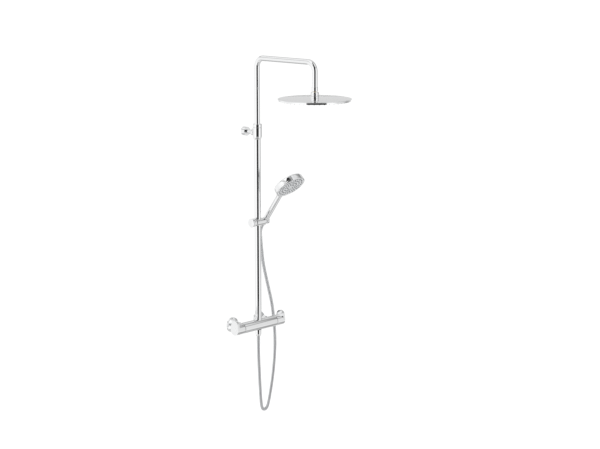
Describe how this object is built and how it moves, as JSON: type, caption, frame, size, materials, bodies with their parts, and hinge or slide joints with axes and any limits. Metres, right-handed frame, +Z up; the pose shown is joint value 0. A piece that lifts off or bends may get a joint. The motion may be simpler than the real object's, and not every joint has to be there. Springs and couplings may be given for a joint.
{
  "type": "rainfall shower column",
  "caption": "Wall shower column: bar mixer with two turning handles, telescopic riser and arm, tilting rain head, sliding holder, lift-off hand shower and hose.",
  "frame": {"origin": "on the wall plane, midway between the two water inlets", "axes": "+X along the mixer bar to the user's right, -Y out of the wall into the room, +Z up"},
  "size_m": [0.3009, 0.5545, 1.4832],
  "materials": {
    "chrome": "polished",
    "chrome_head": "polished steel disc",
    "brass": "machined",
    "steel": "machined",
    "rubber": "moulded",
    "silicone": "soft nozzles",
    "white_plastic": "moulded",
    "grey_plastic": "spray face",
    "red_plastic": "button",
    "hose": "wound metal spiral"
  },
  "bodies": {
    "column": {"mixer_body": "chrome", "riser_seal_ring": "rubber", "grub_screws": "steel", "outlet_nipple": "chrome", "inlet_seals": "rubber", "check_valves": "white_plastic", "union_nuts": "chrome", "inlet_unions": "chrome", "wall_rosettes": "chrome", "thermostatic_cartridge": "white_plastic", "flow_cartridge": "white_plastic", "stop_rings": "white_plastic", "lower_riser_tube": "chrome", "collar_body": "chrome", "clamp_ring": "white_plastic", "collar_clamp_nut": "chrome", "bracket_stem": "chrome", "bracket_rosette": "chrome", "bracket_wall_plate": "steel", "hose_lower_nut": "chrome", "hose_bottom_washer": "rubber", "hose_lower": "hose"},
    "temperature_control": {"temperature_handle": "chrome", "temperature_spindle": "brass", "temperature_handle_screw": "steel", "temperature_end_cap": "chrome"},
    "safety_stop": {"safety_button": "red_plastic"},
    "flow_control": {"flow_handle": "chrome", "flow_spindle": "brass", "flow_handle_screw": "steel", "flow_end_cap": "chrome"},
    "telescope": {"telescope_seal": "white_plastic"},
    "arm": {"arm_tube": "chrome", "drop_nut": "chrome", "ball_nipple": "brass"},
    "head_swivel": {"swivel_ball": "brass"},
    "rain_head": {"ball_seat": "white_plastic", "socket_nut": "chrome", "head_top_plate": "chrome_head", "head_spray_plate": "chrome", "head_nozzle_mat": "silicone"},
    "slider": {"slider_body": "chrome", "slider_liner": "white_plastic", "brake_pad": "white_plastic", "drum_washer": "white_plastic", "drum_pivot": "steel", "hose_middle": "hose"},
    "slider_clamp": {"slider_knob": "chrome", "clamp_screw": "steel"},
    "holder": {"holder_drum": "chrome", "hose_upper": "hose"},
    "handset": {"handset_handle": "chrome", "handset_head_shell": "chrome", "handset_rim_ring": "chrome", "handset_spray_plate": "grey_plastic", "handset_nozzle_mat": "silicone", "handset_nipple": "brass", "hose_cone_nut": "chrome", "hose_top_washer": "rubber"}
  },
  "joints": [
    {"name": "temperature_turn", "type": "hinge", "parent": "column", "child": "temperature_control", "pos_m": [-0.112, -0.078, 0.001], "axis": [1, 0, 0], "range_deg": [-100, 100]},
    {"name": "safety_button_push", "type": "slide", "parent": "temperature_control", "child": "safety_stop", "axis": [0, 0, 1], "range_m": [0, 0.0028], "stiffness_N_per_m": 400, "springref_m": -0.002},
    {"name": "flow_turn", "type": "hinge", "parent": "column", "child": "flow_control", "pos_m": [0.112, -0.078, 0.001], "axis": [1, 0, 0], "range_deg": [-90, 90]},
    {"name": "telescope_slide", "type": "slide", "parent": "column", "child": "telescope", "axis": [0, 0, 1], "range_m": [-0.2, 0.18]},
    {"name": "arm_swivel", "type": "hinge", "parent": "telescope", "child": "arm", "pos_m": [0, -0.078, 0.8235], "axis": [0, 0, 1], "range_deg": [-75, 75]},
    {"name": "rain_head_swivel", "type": "hinge", "parent": "arm", "child": "head_swivel", "pos_m": [0, -0.394, 0.966], "axis": [0, 0, 1], "continuous": true},
    {"name": "rain_head_tilt", "type": "hinge", "parent": "head_swivel", "child": "rain_head", "pos_m": [0, -0.394, 0.966], "axis": [1, 0, 0], "range_deg": [-10, 10]},
    {"name": "slider_travel", "type": "slide", "parent": "column", "child": "slider", "axis": [0, 0, 1], "range_m": [-0.33, 0.24], "deforming": ["hose_lower", "hose_middle", "hose_upper"]},
    {"name": "slider_knob_turn", "type": "hinge", "parent": "slider", "child": "slider_clamp", "pos_m": [-0.03, -0.078, 0.426], "axis": [1, 0, 0], "range_deg": [-180, 0]},
    {"name": "holder_tilt", "type": "hinge", "parent": "slider", "child": "holder", "pos_m": [0.04, -0.078, 0.426], "axis": [1, 0, 0], "range_deg": [-20, 35], "deforming": ["hose_middle", "hose_upper"]},
    {"name": "handset_lift", "type": "slide", "parent": "holder", "child": "handset", "axis": [0, -0.5976, 0.8018], "range_m": [0, 0.06], "deforming": ["hose_upper"]}
  ]
}
